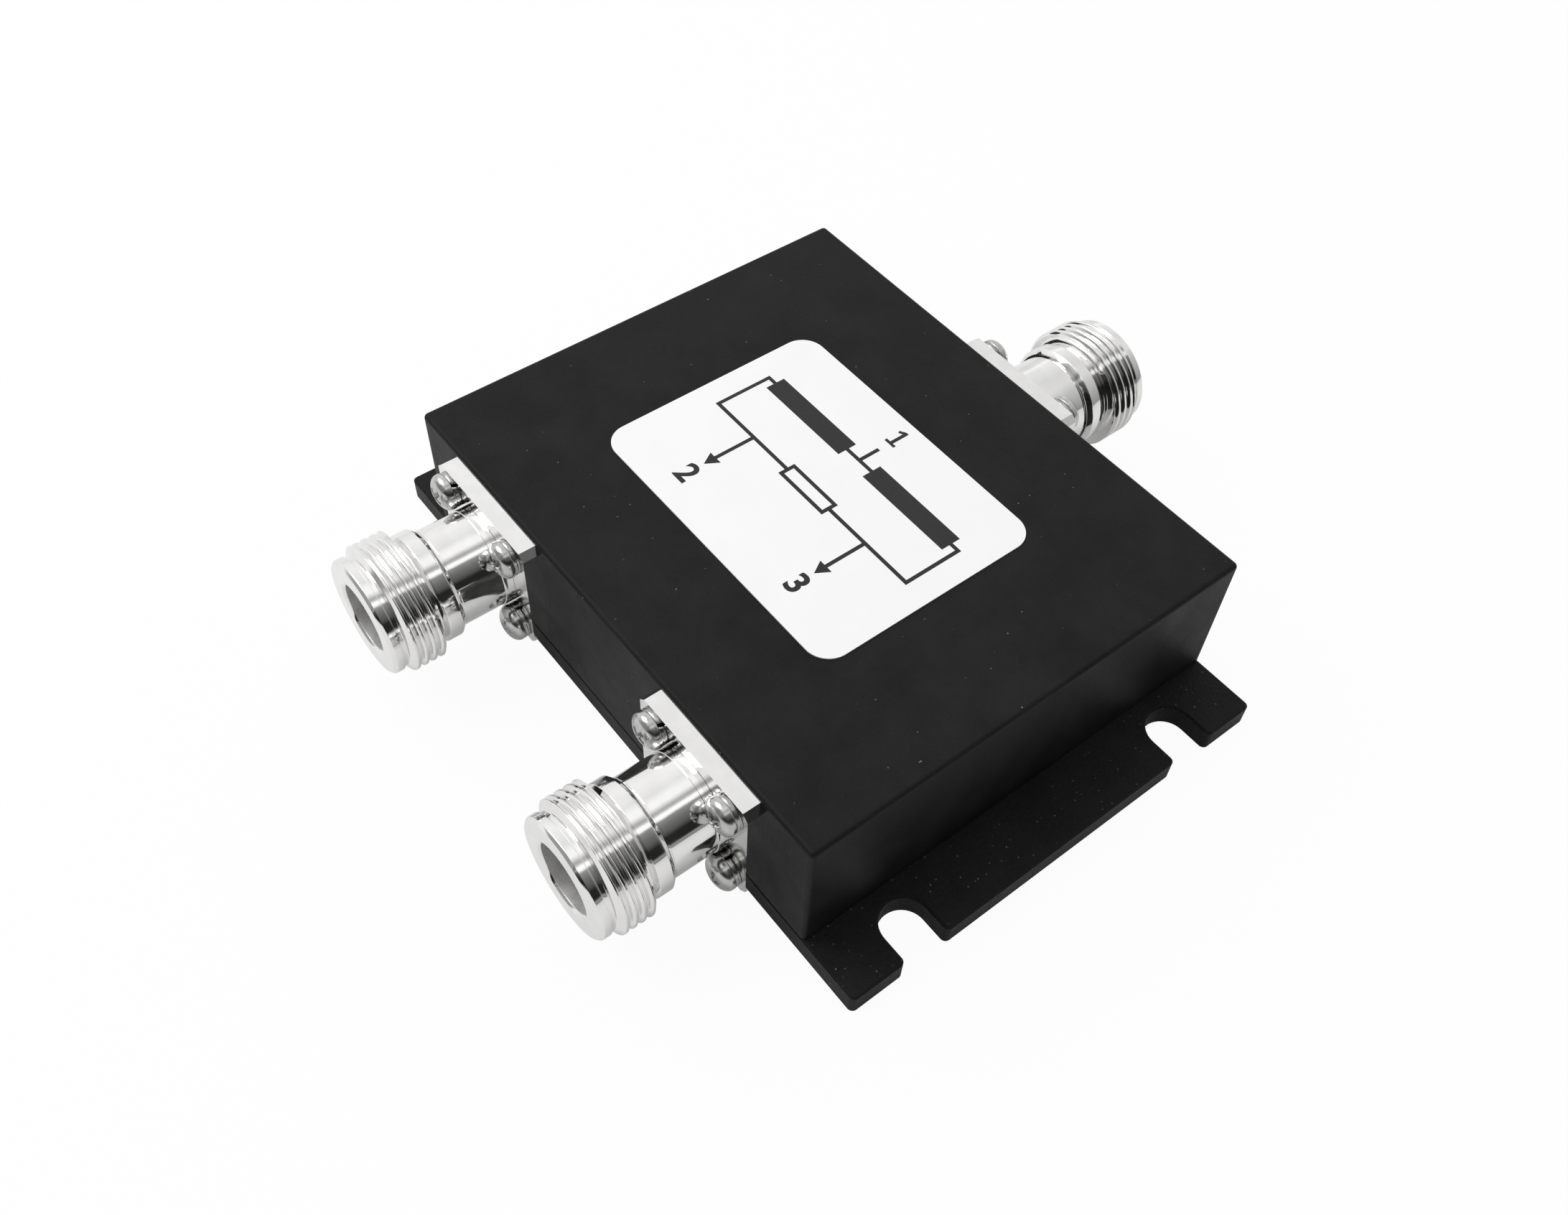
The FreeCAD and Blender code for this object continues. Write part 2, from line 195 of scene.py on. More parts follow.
# Sky levels by angle in degrees from straight up towards +X, for -Y and for +Y directions
sky_peak = 1.2
sky_front = [
    (-180, 0.9), (-90, 0.93), (-72, 1.0), (-58, 1.06), (-38, 1.0), (-20, 0.92), (-6, 1.12), (4, 1.12),
    (10, 0.80), (15, 0.44), (20, 0.60), (23, 1.2), (29, 1.2), (33, 0.30), (45, 0.18), (58, 0.10),
    (66, 0.02), (82, 0.02), (86, 0.35), (92, 0.10), (120, 0.5), (180, 0.9),
]
sky_back = [
    (-180, 0.9), (-76, 0.82), (-66, 1.1), (-56, 0.95), (-40, 0.92), (-14, 0.82), (18, 0.84), (40, 0.62),
    (66, 0.46), (88, 0.32), (120, 0.6), (180, 0.9),
]
# Where the sky changes over along Y, as parts of a unit direction, and its share at the -Y end
back_start, back_full = 0.32, 0.55
dim_full, dim_start, dim_share = -0.85, -0.45, 0.35

# Key lamp
key_place = Vector((-0.35, -0.25, 0.55))
key_target = Vector((0.0, 0.0, 0.0))
key_size = 0.45
key_watts = 2.3


def new_object(name, mesh):
    """Object from a mesh, in the scene."""
    piece = bpy.data.objects.new(name, mesh)
    bpy.context.scene.collection.objects.link(piece)
    return piece


def finished(name, bm, smooth=True):
    """Object from a bmesh, welded, with its faces turned outwards."""
    bmesh.ops.remove_doubles(bm, verts=bm.verts, dist=weld_distance)
    bmesh.ops.dissolve_degenerate(bm, edges=bm.edges, dist=shortest_edge)
    bmesh.ops.recalc_face_normals(bm, faces=bm.faces)
    mesh = bpy.data.meshes.new(name)
    bm.to_mesh(mesh)
    bm.free()
    if smooth:
        mesh.shade_smooth()
    return new_object(name, mesh)


def weigh_normals(piece):
    """Keep flat faces flat beside their rounded edges."""
    weighted = piece.modifiers.new("weighted", "WEIGHTED_NORMAL")
    weighted.weight = 80
    weighted.keep_sharp = True


def math_node(tree, operation, first, second):
    """Maths on two values, each of them a number or a socket."""
    node = tree.nodes.new("ShaderNodeMath")
    node.operation = operation
    for socket, value in zip(node.inputs, (first, second)):
        if isinstance(value, (int, float)):
            socket.default_value = value
        else:
            tree.links.new(value, socket)
    return node.outputs["Value"]


def range_node(tree, value, low, high, to_low=0.0, to_high=1.0):
    """Value between low and high, mapped softly to another range and held there."""
    node = tree.nodes.new("ShaderNodeMapRange")
    node.interpolation_type = "SMOOTHSTEP"
    node.inputs["From Min"].default_value = low
    node.inputs["From Max"].default_value = high
    node.inputs["To Min"].default_value = to_low
    node.inputs["To Max"].default_value = to_high
    tree.links.new(value, node.inputs["Value"])
    return node.outputs["Result"]


def mix_node(tree, share, first, second):
    """Colour between two others, each of them a tuple or a socket."""
    node = tree.nodes.new("ShaderNodeMix")
    node.data_type = "RGBA"
    tree.links.new(share, node.inputs["Factor"])
    for socket, value in (("A", first), ("B", second)):
        if isinstance(value, tuple):
            node.inputs[socket].default_value = (*value, 1.0)
        else:
            tree.links.new(value, node.inputs[socket])
    return node.outputs["Result"]


class Shader:
    """A material's node tree, with short calls for the nodes that the finishes use."""

    def __init__(self, name):
        self.material = bpy.data.materials.new(name)
        self.material.use_nodes = True
        self.tree = self.material.node_tree
        self.surface = self.tree.nodes["Principled BSDF"]
        self.place = self.node("ShaderNodeTexCoord").outputs["Object"]

    def node(self, kind, **settings):
        node = self.tree.nodes.new(kind)
        for key, value in settings.items():
            setattr(node, key, value)
        return node

    def link(self, output, socket):
        self.tree.links.new(output, socket)

    def set(self, **values):
        for key, value in values.items():
            self.surface.inputs[key.replace("_", " ")].default_value = value

    def noise(self, size, detail, roughness=0.55, place=None):
        """Noise whose grains are about one size across, as a value round 0.5."""
        noise = self.node("ShaderNodeTexNoise")
        noise.inputs["Scale"].default_value = 1.0 / size
        noise.inputs["Detail"].default_value = detail
        noise.inputs["Roughness"].default_value = roughness
        self.link(place or self.place, noise.inputs["Vector"])
        return noise.outputs["Fac"]

    def specks(self, spacing, radius):
        """Small round specks, one in each cell, as 1 on them and 0 elsewhere, and each cell's own draw."""
        cells = self.node("ShaderNodeTexVoronoi")
        cells.inputs["Scale"].default_value = 1.0 / spacing
        self.link(self.place, cells.inputs["Vector"])
        edge = radius / spacing
        near = self.ramp(cells.outputs["Distance"], edge, edge * speck_blur, 1.0, 0.0)
        draw = self.node("ShaderNodeSeparateColor")
        self.link(cells.outputs["Color"], draw.inputs["Color"])
        return near, draw.outputs["Red"]

    def ramp(self, value, low, high, to_low=0.0, to_high=1.0):
        return range_node(self.tree, value, low, high, to_low, to_high)

    def math(self, operation, first, second):
        return math_node(self.tree, operation, first, second)

    def colours(self, value, first, second):
        """Base colour between two others, by a value; gives the mixed colour too."""
        mixed = mix_node(self.tree, value, first, second)
        self.link(mixed, self.surface.inputs["Base Color"])
        return mixed

    def roughness(self, value, low, high, smooth, rough):
        """Roughness from smooth to rough, as a value goes from low to high."""
        self.link(self.ramp(value, low, high, smooth, rough), self.surface.inputs["Roughness"])

    def bump(self, height, depth):
        """Surface relief of one depth in metres, added to the relief so far."""
        bump = self.node("ShaderNodeBump")
        bump.inputs["Strength"].default_value = 1.0
        bump.inputs["Distance"].default_value = depth
        self.link(height, bump.inputs["Height"])
        normal = self.surface.inputs["Normal"]
        if normal.links:
            self.link(normal.links[0].from_socket, bump.inputs["Normal"])
        self.link(bump.outputs["Normal"], normal)


def coat(name, grain, relief, glint, sand_glint):
    """Satin black coat: soft grain, slow mottling, dark pits, and painted glints on a few bright specks and
    on fine sand grain.
    """
    shader = Shader(name)
    mottling = shader.noise(mottling_size, 3.0)
    fine = shader.noise(grain, 4.0, 0.65)
    slow = shader.math("MULTIPLY", mottling, mottling_share)
    tone = shader.math("ADD", slow, shader.math("MULTIPLY", fine, 1.0 - mottling_share))
    black = shader.colours(shader.ramp(tone, 0.3, 0.72), coat_dark, coat_light)
    # Bright specks and sand grain are painted glints: light caught by the coat's grain, put into the base
    # colour.
    glint_spot, draw = shader.specks(glint_spacing, glint_radius)
    glint_share = shader.ramp(draw, 1.0 - glint, 1.0 - glint + glint_onset)
    sand_glint_spot, sand_glint_draw = shader.specks(sand_glint_spacing, sand_glint_radius)
    sand_glint_share = shader.ramp(sand_glint_draw, 1.0 - sand_glint, 1.0, 0.0, sand_glint_strength)
    painted_glints = shader.math(
        "MAXIMUM",
        shader.math("MULTIPLY", glint_spot, glint_share),
        shader.math("MULTIPLY", sand_glint_spot, sand_glint_share),
    )
    # The painted glints lighten the base colour where the specks and sand grain fall.
    shader.colours(painted_glints, black, painted_glint_colour)
    shader.roughness(mottling, 0.3, 0.7, 0.42, 0.52)
    shader.set(Specular_IOR_Level=coat_shine)
    shader.bump(fine, relief)
    pit, pit_draw = shader.specks(pit_spacing, pit_radius)
    shader.bump(shader.math("MULTIPLY", pit, shader.ramp(pit_draw, pit_start, pit_full)), -pit_depth)
    return shader.material


def nickel(name, tone, smooth, rings):
    """Bright nickel plate over turned metal, with very faint turning marks along Y and soft smears."""
    shader = Shader(name)
    smears = shader.noise(2.6 * MM, 4.0)
    shader.colours(shader.ramp(smears, 0.35, 0.7), tuple(nickel_smear_tone * c for c in tone), tone)
    shader.roughness(smears, 0.3, 0.75, smooth, smooth * nickel_smear_roughness)
    shader.set(Metallic=1.0)
    stretch = shader.node("ShaderNodeMapping")
    stretch.inputs["Scale"].default_value = turning_mark_stretch
    shader.link(shader.place, stretch.inputs["Vector"])
    marks = shader.noise(turning_mark_width, 2.0, 0.6, stretch.outputs["Vector"])
    shader.bump(marks, rings)
    shader.bump(shader.noise(1.6 * MM, 2.0), 0.006 * MM)
    return shader.material


def steel(name):
    """Bright zinc plate on a cold-headed screw: a clear shine with soft smears."""
    shader = Shader(name)
    grain = shader.noise(0.7 * MM, 3.0)
    shader.colours(shader.ramp(grain, 0.35, 0.7), (0.48, 0.48, 0.47), (0.57, 0.57, 0.56))
    shader.roughness(grain, 0.3, 0.75, 0.17, 0.24)
    shader.set(Metallic=1.0)
    shader.bump(shader.noise(0.8 * MM, 2.0), 0.002 * MM)
    return shader.material


def film():
    """White satin label film with a slow unevenness."""
    shader = Shader("label_film")
    shader.colours(shader.noise(5.0 * MM, 3.0), (0.86, 0.86, 0.86), (0.90, 0.90, 0.90))
    shader.roughness(shader.noise(3.0 * MM, 2.0), 0.3, 0.7, 0.38, 0.5)
    shader.set(Specular_IOR_Level=0.35)
    shader.bump(shader.noise(1.8 * MM, 2.0), 0.004 * MM)
    return shader.material


def ink():
    """Black print with a slightly uneven cover."""
    shader = Shader("print_ink")
    shader.colours(shader.noise(0.4 * MM, 4.0), (0.010, 0.010, 0.010), (0.022, 0.022, 0.022))
    shader.set(Roughness=0.45, Specular_IOR_Level=0.3)
    return shader.material


def plain(name, first, second, grain, rough, metallic=0.0, relief=0.01 * MM):
    """Finish with two close tones, a soft relief and an uneven shine."""
    shader = Shader(name)
    grains = shader.noise(grain, 4.0)
    shader.colours(shader.ramp(grains, 0.35, 0.7), first, second)
    shader.roughness(grains, 0.3, 0.75, rough * 0.85, rough * 1.15)
    shader.set(Metallic=metallic)
    shader.bump(grains, relief)
    return shader.material


def laminate():
    """Green solder mask over a woven glass cloth."""
    shader = Shader("solder_mask")
    waves = []
    for axis in ("X", "Y"):
        wave = shader.node("ShaderNodeTexWave", wave_type="BANDS", bands_direction=axis)
        wave.inputs["Scale"].default_value = 1.0 / (2.0 * MM)
        shader.link(shader.place, wave.inputs["Vector"])
        waves.append(wave.outputs["Fac"])
    weave = shader.math("MULTIPLY", *waves)
    shader.colours(weave, (0.020, 0.105, 0.045), (0.035, 0.150, 0.065))
    shader.set(Roughness=0.34)
    shader.bump(weave, 0.01 * MM)
    return shader.material


def make_finishes():
    """Every finish, most of them by the record's slot that they belong to."""
    return {
        "black_coat": coat("black_coat", grain=0.30 * MM, relief=0.05 * MM, glint=0.10, sand_glint=0.03),
        "coarse_coat": coat("coarse_coat", grain=0.42 * MM, relief=0.13 * MM, glint=0.30, sand_glint=0.55),
        "nickel_plate": nickel("nickel_plate", nickel_tone, smooth=0.055, rings=0.0005 * MM),
        "nickel_bore": plain("nickel_bore", (0.58, 0.58, 0.57), (0.68, 0.68, 0.67),
                             grain=1.5 * MM, rough=0.30, metallic=0.45, relief=0.003 * MM),
        "screw_steel": steel("screw_steel"),
        "washer_steel": plain("washer_steel", (0.36, 0.36, 0.36), (0.50, 0.50, 0.49),
                              grain=0.6 * MM, rough=0.24, metallic=1.0, relief=0.008 * MM),
        "label_white": film(),
        "print_black": ink(),
        "dielectric_white": plain("dielectric_white", (0.80, 0.80, 0.78), (0.88, 0.88, 0.87),
                                  grain=0.8 * MM, rough=0.5),
        "contact_gold": plain("contact_gold", (0.80, 0.62, 0.30), (0.88, 0.72, 0.40),
                              grain=0.4 * MM, rough=0.16, metallic=1.0, relief=0.004 * MM),
        "laminate_green": laminate(),
        "copper_track": plain("copper_track", (0.66, 0.33, 0.20), (0.76, 0.42, 0.28),
                              grain=0.5 * MM, rough=0.3, metallic=1.0),
        "resistor_black": plain("resistor_black", (0.03, 0.03, 0.035), (0.06, 0.06, 0.065),
                                grain=0.3 * MM, rough=0.35),
        "solder_grey": plain("solder_grey", (0.50, 0.50, 0.52), (0.66, 0.66, 0.67),
                             grain=0.5 * MM, rough=0.33, metallic=1.0, relief=0.03 * MM),
    }


def paint(piece, finish):
    """One finish on all of a piece."""
    slots = piece.data.materials
    if len(slots) == 0:
        slots.append(finish)
    for index in range(len(slots)):
        slots[index] = finish


def rounded_outline(points, radius):
    """Closed outline of (radius, height) points with each corner turned into a small arc."""
    outline = []
    count = len(points)
    for index in range(count):
        before, corner, after = (Vector(points[(index + k) % count]) for k in (-1, 0, 1))
        back = before - corner
        on = after - corner
        reach = min(radius, back.length * corner_reach, on.length * corner_reach)
        start = corner + back.normalized() * reach
        end = corner + on.normalized() * reach
        for step in range(corner_steps + 1):
            t = step / corner_steps
            outline.append((1 - t) ** 2 * start + 2 * t * (1 - t) * corner + t ** 2 * end)
    return outline


def turned(place, radius, angle, height):
    """Point at one angle and radius about the local Z axis."""
    return place @ Vector((radius * math.cos(angle), radius * math.sin(angle), height))


def ring(bm, place, radii, height):
    """Vertices round the local Z axis at one height, evenly spaced, each with its own radius."""
    step = math.tau / len(radii)
    return [bm.verts.new(turned(place, radius, step * index, height)) for index, radius in enumerate(radii)]


def bridge(bm, low, high):
    """Band of faces between two rings."""
    count = len(low)
    for index in range(count):
        after = (index + 1) % count
        bm.faces.new((low[index], low[after], high[after], high[index]))


class Connector:
    """One connector's place, read from its front shell: local Z points outwards and local Y up."""

    def __init__(self, name):
        self.name = name
        low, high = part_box(name + "_front_shell")
        flange_low, flange_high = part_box(name + "_flange_body")
        side = 1 if high.y > 0 else -1
        middle = (low + high) / 2
        wall = flange_low.y if side > 0 else flange_high.y
        self.place = Matrix((
            (-side, 0, 0, middle.x),
            (0, 0, side, wall),
            (0, 1, 0, middle.z),
            (0, 0, 0, 1),
        ))
        self.thread_radius = (high.x - low.x) / 2
        self.front = abs((high.y if side > 0 else low.y) - wall)
        self.rear = abs((low.y if side > 0 else high.y) - wall)


def groove_depth(distance):
    """Depth of the thread's groove, by distance from its middle along the axis: a V with rounded crests."""
    across = abs((distance + thread_pitch / 2) % thread_pitch - thread_pitch / 2)
    share = min(across / (thread_pitch * groove_half_width), 1.0)
    straight = 1.0 - share
    rounded = 0.5 + 0.5 * math.cos(math.pi * share)
    return thread_depth * (groove_straightness * straight + (1.0 - groove_straightness) * rounded)


def thread_heights(end, first_groove):
    """Heights of the thread's rows where its turn begins, from below its start to past its end."""
    turns = range(-spare_turns, math.ceil((end + thread_pitch - first_groove) / thread_pitch))
    rows = [thread_pitch * (row / rows_per_pitch - 0.5) for row in range(rows_per_pitch)]
    return [first_groove + turn * thread_pitch + row for turn in turns for row in rows]


def thread_grid(bm, connector, start, end, first_groove):
    """Helical thread between two heights: rows follow the helix, and the groove runs out into the land."""
    heights = thread_heights(end, first_groove)
    columns = []
    for step in range(turn_steps + 1):
        turn = step / turn_steps
        climb = thread_pitch * turn
        column = []
        for height in heights:
            z = min(max(height + climb, start), end)
            fade = min(max((end - z) / thread_run_out, 0.0), 1.0)
            radius = connector.thread_radius - groove_depth(z - climb - first_groove) * fade
            column.append(bm.verts.new(turned(connector.place, radius, math.tau * turn, z)))
        columns.append(column)
    for left, right in zip(columns, columns[1:]):
        for index in range(len(heights) - 1):
            bm.faces.new((left[index], right[index], right[index + 1], left[index + 1]))


def front_shell(connector, finishes):
    """Threaded outer conductor with a cut helix, rounded turned edges and an open socket."""
    bm = bmesh.new()
    crest, front, rear = connector.thread_radius, connector.front, connector.rear
    thread_end = front - pilot_length
    thread_start = thread_end - thread_length
    collar_end = thread_start - undercut_length
    barrel_end = collar_end - collar_length
    crest_end = thread_end - relief_length
    land_start = crest_end - thread_land
    first_groove = thread_start + thread_pitch
    corners = [
        (crest, land_start),
        (crest, crest_end - relief_slope),
        (relief_radius, crest_end + relief_slope),
        (relief_radius, thread_end),
        (pilot_radius, thread_end),
        (pilot_radius, front - front_chamfer),
        (pilot_radius - front_chamfer, front),
        (bore_radius + mouth_chamfer, front),
        (bore_radius, front - mouth_chamfer),
        (bore_radius, front - bore_depth),
        (rear_bore_radius, front - bore_depth),
        (rear_bore_radius, rear),
        (spigot_radius, rear),
        (spigot_radius, barrel_end),
        (collar_radius - collar_rear_chamfer, barrel_end),
        (collar_radius, barrel_end + collar_rear_chamfer),
        (collar_radius, collar_end - collar_chamfer),
        (undercut_radius, collar_end + collar_chamfer),
        (undercut_radius, thread_start),
        (crest - thread_depth, thread_start),
    ]
    corner_points = corner_steps + 1
    outline = rounded_outline(corners, turned_round)[corner_points:-corner_points]
    profile = [Vector((crest, land_start))] + outline
    rings = [ring(bm, connector.place, [radius] * turn_steps, height) for radius, height in profile]
    thread_face = [crest - groove_depth(thread_start - thread_pitch * step / turn_steps - first_groove)
                   for step in range(turn_steps)]
    rings.append(ring(bm, connector.place, thread_face, thread_start))
    for low, high in zip(rings, rings[1:]):
        bridge(bm, low, high)
    thread_grid(bm, connector, thread_start, land_start, first_groove)
    shell = finished(connector.name + "_threaded_shell", bm)
    weigh_normals(shell)
    shell.data.materials.append(finishes["nickel_plate"])
    shell.data.materials.append(finishes["nickel_bore"])
    inwards = connector.place.inverted()
    for face in shell.data.polygons:
        face.material_index = int((inwards @ face.center).xy.length < bore_radius + bore_edge)
    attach(shell, "root")
    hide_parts(connector.name + "_front_shell")


def flange_hub(connector, finishes):
    """Low raised ring where the barrel leaves the flange."""
    seat, end = flange_thickness, flange_thickness + hub_length
    corners = [(hub_inner_radius, seat), (hub_radius, seat), (hub_radius, end), (hub_inner_radius, end)]
    bm = bmesh.new()
    rings = [ring(bm, connector.place, [radius] * turn_steps, height)
             for radius, height in rounded_outline(corners, turned_round)]
    for low, high in zip(rings, rings[1:] + rings[:1]):
        bridge(bm, low, high)
    piece = finished(connector.name + "_flange_hub", bm)
    weigh_normals(piece)
    paint(piece, finishes["nickel_plate"])
    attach(piece, "root")


def head_height_at(x, y):
    """Height of a pan head's top above its seat, with a tapered cross recess."""
    radius = math.hypot(x, y)
    share = min(radius / head_radius, 1.0)
    dome = head_rim + (head_height - head_rim) * (1.0 - share ** dome_power) ** 0.5
    arm = min(
        max(abs(x) - recess_half_length, abs(y) - recess_half_width),
        max(abs(y) - recess_half_length, abs(x) - recess_half_width),
    )
    inside = min(max(0.5 - arm / (2 * recess_wall), 0.0), 1.0)
    inside = inside * inside * (3 - 2 * inside)
    depth = recess_depth + (recess_end_depth - recess_depth) * min(radius / recess_half_length, 1.0)
    return dome - depth * inside


def screw(bm, place):
    """Pan-head screw: domed head with its recess, rounded rim and plain shank."""
    centre = bm.verts.new(place @ Vector((0, 0, head_height_at(0, 0))))
    rings = []
    for row in range(1, head_rows + 1):
        radius = head_radius * math.sin(math.pi / 2 * (row / head_rows) ** head_row_spread)
        verts = []
        for step in range(head_steps):
            angle = math.tau * step / head_steps
            x, y = radius * math.cos(angle), radius * math.sin(angle)
            verts.append(bm.verts.new(place @ Vector((x, y, head_height_at(x, y)))))
        rings.append(verts)
    for step in range(head_steps):
        bm.faces.new((centre, rings[0][step], rings[0][(step + 1) % head_steps]))
    below = [
        (head_radius, head_side),
        (head_radius, head_edge),
        (head_radius - head_edge, 0.0),
        (screw_radius, 0.0),
        (screw_radius, -screw_grip),
        (screw_tip_radius, -screw_tip_depth),
    ]
    for radius, height in below:
        rings.append(ring(bm, place, [radius] * head_steps, height))
    for low, high in zip(rings, rings[1:]):
        bridge(bm, low, high)
    bm.faces.new(list(reversed(rings[-1])))


def lock_washer(bm, place):
    """Split spring washer: a ring of nearly square section whose cut ends stand slightly apart."""
    inner, outer, top, edge = washer_bore_radius, washer_radius, washer_thickness, washer_edge
    section = [
        (inner, edge), (inner + edge, 0), (outer - edge, 0), (outer, edge),
        (outer, top - edge), (outer - edge, top), (inner + edge, top), (inner, top - edge),
    ]
    gap = math.radians(washer_gap_degrees)
    previous = None
    for step in range(washer_steps + 1):
        share = step / washer_steps
        lift = washer_set * (share - 0.5)
        verts = []
        for radius, height in section:
            slant = gap * washer_cut_slant * (height / top - 0.5)
            angle = gap / 2 + (math.tau - gap) * share + slant
            verts.append(bm.verts.new(turned(place, radius, angle, height + lift)))
        if previous:
            bridge(bm, previous, verts)
        else:
            bm.faces.new(list(reversed(verts)))
        previous = verts
    bm.faces.new(previous)


def screw_places():
    """Middle of each flange screw, with a different turn for each as real screws have."""
    across, up = screw_spacing / 2, screw_rise / 2
    places = []
    for index, (x, y) in enumerate([(-across, -up), (-across, up), (across, -up), (across, up)]):
        turn = Matrix.Rotation(math.radians(first_screw_turn + screw_turn_step * index), 4, "Z")
        places.append((Vector((x, y, 0)), turn))
    return places


def fasteners(connector, finishes):
    """The four screws of one flange and their lock washers, each group as one piece."""
    screws = bmesh.new()
    washers = bmesh.new()
    for offset, turn in screw_places():
        seat = connector.place @ Matrix.Translation(offset + Vector((0, 0, flange_thickness)))
        lock_washer(washers, seat @ turn)
        screw(screws, seat @ Matrix.Translation((0, 0, washer_thickness)) @ turn)
    groups = (
        (screws, "_pan_head_screws", "_flange_screws", "screw_steel"),
        (washers, "_split_washers", "_lock_washers", "washer_steel"),
    )
    for bm, made, node, finish in groups:
        piece = finished(connector.name + made, bm)
        weigh_normals(piece)
        paint(piece, finishes[finish])
        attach(piece, "root")
        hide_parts(connector.name + node)


def flat_shape(bm, points, low, high):
    """Thin plate from an outline on the label."""
    bottom = [bm.verts.new((x, y, low)) for x, y in points]
    top = [bm.verts.new((x, y, high)) for x, y in points]
    bm.faces.new(top)
    bm.faces.new(list(reversed(bottom)))
    bridge(bm, bottom, top)


def diagram_shapes():
    """Outlines in mm from the label's middle: a feed, two line sections, a resistor and two arrows."""
    half = print_line / 2
    rail, cross = diagram_top, diagram_low
    inner_length = resistor_half_length - print_line
    inner_height = resistor_half_height - print_line
    middle = [
        [(-half, rail + half), (half, feed_top)],
        [(-section_start, rail - half), (section_start, rail + half)],
        [(-inner_length, cross - resistor_half_height), (inner_length, cross - inner_height)],
        [(-inner_length, cross + inner_height), (inner_length, cross + resistor_half_height)],
    ]
    right = [
        [(section_start, rail - section_half_height), (section_end, rail + section_half_height)],
        [(section_end, rail - half), (outer_x + half, rail + half)],
        [(outer_x - half, cross + half), (outer_x + half, rail - half)],
        [(resistor_half_length, cross - half), (outer_x + half, cross + half)],
        [(inner_length, cross - resistor_half_height), (resistor_half_length, cross + resistor_half_height)],
        [(output_x - half, arrow_top), (output_x + half, cross - half)],
    ]
    left = [[(-x1, y0), (-x0, y1)] for (x0, y0), (x1, y1) in right]
    outlines = [[(x0, y0), (x1, y0), (x1, y1), (x0, y1)] for (x0, y0), (x1, y1) in middle + right + left]
    for x in (-output_x, output_x):
        tip = (x, arrow_top - arrow_length)
        outlines.append([(x - arrow_half_width, arrow_top), tip, (x + arrow_half_width, arrow_top)])
    return outlines


def label_middle():
    """Middle of the label's upper face."""
    low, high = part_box("label")
    return Vector(((low.x + high.x) / 2, (low.y + high.y) / 2, high.z))


def lay_print(piece, finishes):
    """Ink on a printed piece, which goes with the label."""
    paint(piece, finishes["print_black"])
    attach(piece, "root")


def printed_shapes(name, outlines, finishes):
    """Printed piece from outlines in mm from the label's middle."""
    middle = label_middle()
    bm = bmesh.new()
    for outline in outlines:
        points = [(middle.x + x * MM, middle.y + y * MM) for x, y in outline]
        flat_shape(bm, points, middle.z, middle.z + print_thickness)
    lay_print(finished(name, bm, smooth=False), finishes)


def numeral(text, x, y, finishes):
    """One printed figure, at a place in mm from the label's middle."""
    curve = bpy.data.curves.new("numeral_" + text, "FONT")
    curve.body = text
    curve.size = numeral_size
    curve.offset = numeral_weight
    curve.extrude = print_thickness / 2
    curve.align_x = "CENTER"
    curve.align_y = "CENTER"
    curve.resolution_u = numeral_curve_steps
    written = bpy.data.objects.new("numeral_curve", curve)
    mesh = bpy.data.meshes.new_from_object(written)
    place = label_middle() + Vector((x * MM, y * MM, print_thickness / 2))
    mesh.transform(Matrix.Translation(place))
    lay_print(new_object("label_numeral_" + text, mesh), finishes)


def label_print(finishes):
    """Plain line diagram of the splitter with its port numbers; the figure 1 has a flag and a foot."""
    printed_shapes("label_diagram", diagram_shapes(), finishes)
    printed_shapes("label_numeral_1", [[(x, numeral_top_y + y) for x, y in figure_one]], finishes)
    numeral("2", -output_x, numeral_low_y, finishes)
    numeral("3", output_x, numeral_low_y, finishes)


def dress_nodes(finishes):
    """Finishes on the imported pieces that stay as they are."""
    for row in frame["record"]["subparts"]:
        node = row["node"]
        finish = "coarse_coat" if node == "base_plate" else row["material_slot"]
        paint(frame["nodes"][node], finishes[finish])


def make_floor():
    """Pale sweep under the part: the camera sees it as near white, and it keeps a soft shadow."""
    bpy.ops.mesh.primitive_plane_add(size=floor_size)
    floor = bpy.context.object
    floor.name = "floor"
    material = bpy.data.materials.new("floor_paper")
    material.use_nodes = True
    tree = material.node_tree
    paper = tree.nodes["Principled BSDF"]
    paper.inputs["Base Color"].default_value = floor_paper
    paper.inputs["Roughness"].default_value = floor_roughness
    paper.inputs["Specular IOR Level"].default_value = floor_shine
    glow = tree.nodes.new("ShaderNodeEmission")
    glow.inputs["Color"].default_value = (1.0, 1.0, 1.0, 1.0)
    path = tree.nodes.new("ShaderNodeLightPath")
    share = 0.0
    for ray, weight in floor_glow.items():
        share = math_node(tree, "ADD", math_node(tree, "MULTIPLY", path.outputs[ray], weight), share)
    mix = tree.nodes.new("ShaderNodeMixShader")
    tree.links.new(share, mix.inputs["Fac"])
    tree.links.new(paper.outputs["BSDF"], mix.inputs[1])
    tree.links.new(glow.outputs["Emission"], mix.inputs[2])
    tree.links.new(mix.outputs["Shader"], tree.nodes["Material Output"].inputs["Surface"])
    floor.data.materials.append(material)


def sky_bands(tree, angle, bands):
    """Level by angle in degrees, straight between the listed points, as a share of the sky's peak."""
    ramp = tree.nodes.new("ShaderNodeValToRGB")
    stops = ramp.color_ramp.elements
    first_stops = len(stops)
    for index, (degrees, level) in enumerate(bands):
        place = degrees / 360.0 + 0.5
        stop = stops[index] if index < first_stops else stops.new(place)
        stop.position = place
        share = level / sky_peak
        stop.color = (share, share, share, 1.0)
    tree.links.new(angle, ramp.inputs["Fac"])
    return ramp.outputs["Color"]


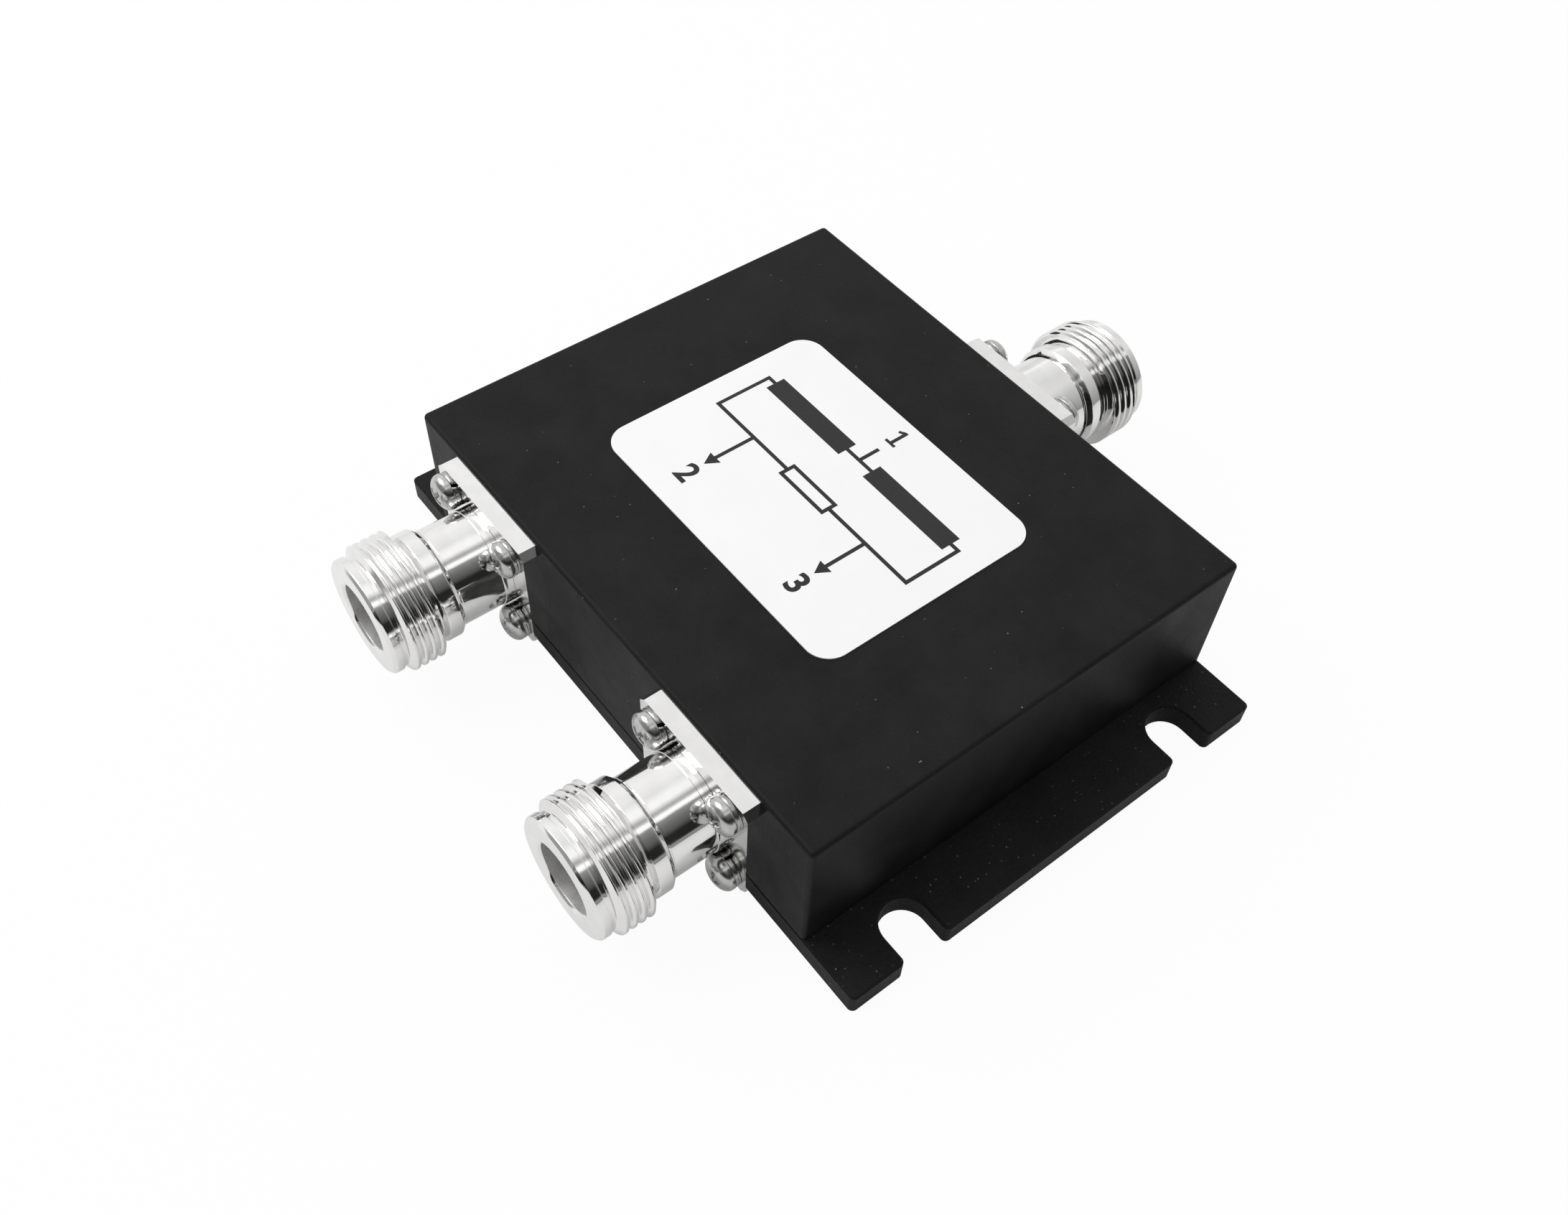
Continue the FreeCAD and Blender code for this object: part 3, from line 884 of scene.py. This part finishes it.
def make_world():
    """Studio sky: bright on the left, a slim strip overhead and a dark room low on the right.

    Bright metal gets its bands from it. The tone goes by the angle from straight up towards +X,
    and the dark room is lighter towards +Y. The camera sees plain white.
    """
    world = bpy.data.worlds.new("studio")
    bpy.context.scene.world = world
    world.use_nodes = True
    tree = world.node_tree
    direction = tree.nodes.new("ShaderNodeTexCoord").outputs["Generated"]
    split = tree.nodes.new("ShaderNodeSeparateXYZ")
    tree.links.new(direction, split.inputs["Vector"])
    turn = math_node(tree, "ARCTAN2", split.outputs["X"], split.outputs["Z"])
    angle = math_node(tree, "ADD", math_node(tree, "DIVIDE", turn, math.tau), 0.5)
    back = range_node(tree, split.outputs["Y"], back_start, back_full)
    sky = mix_node(tree, back, sky_bands(tree, angle, sky_front), sky_bands(tree, angle, sky_back))
    dim = range_node(tree, split.outputs["Y"], dim_full, dim_start, dim_share, 1.0)
    level = math_node(tree, "MULTIPLY", sky, math_node(tree, "MULTIPLY", dim, sky_peak))
    path = tree.nodes.new("ShaderNodeLightPath")
    strength = math_node(tree, "MAXIMUM", level, path.outputs["Is Camera Ray"])
    background = tree.nodes["Background"]
    background.inputs["Color"].default_value = (1.0, 1.0, 1.0, 1.0)
    tree.links.new(strength, background.inputs["Strength"])


def make_key_lamp():
    """Large soft lamp aimed at the middle of the part's foot."""
    data = bpy.data.lights.new("key", "AREA")
    data.shape = "SQUARE"
    data.size = key_size
    data.energy = key_watts
    lamp = bpy.data.objects.new("key", data)
    lamp.location = key_place
    lamp.rotation_euler = (key_target - key_place).to_track_quat("-Z", "Y").to_euler()
    bpy.context.scene.collection.objects.link(lamp)


def make_camera():
    """Camera at the photograph's place, with its slight roll."""
    azimuth, elevation = math.radians(camera_azimuth), math.radians(camera_elevation)
    forward = Vector((
        -math.sin(azimuth) * math.cos(elevation),
        math.cos(azimuth) * math.cos(elevation),
        -math.sin(elevation),
    ))
    turn = forward.to_track_quat("-Z", "Y").to_matrix().to_4x4()
    roll = Matrix.Rotation(math.radians(camera_roll), 4, "Z")
    data = bpy.data.cameras.new("camera")
    data.sensor_width = sensor_width
    data.sensor_fit = "HORIZONTAL"
    data.lens = camera_lens
    data.clip_start = near_clip
    data.clip_end = far_clip
    camera = bpy.data.objects.new("camera", data)
    camera.matrix_world = Matrix.Translation(camera_place) @ turn @ roll
    bpy.context.scene.collection.objects.link(camera)
    bpy.context.scene.camera = camera


def main():
    finishes = make_finishes()
    dress_nodes(finishes)
    for name in ("input", "output_1", "output_2"):
        connector = Connector(name)
        front_shell(connector, finishes)
        flange_hub(connector, finishes)
        fasteners(connector, finishes)
    label_print(finishes)
    make_floor()
    make_world()
    make_key_lamp()
    make_camera()
    bpy.context.scene.view_settings.view_transform = "Standard"


main()
bpy.context.view_layer.update()
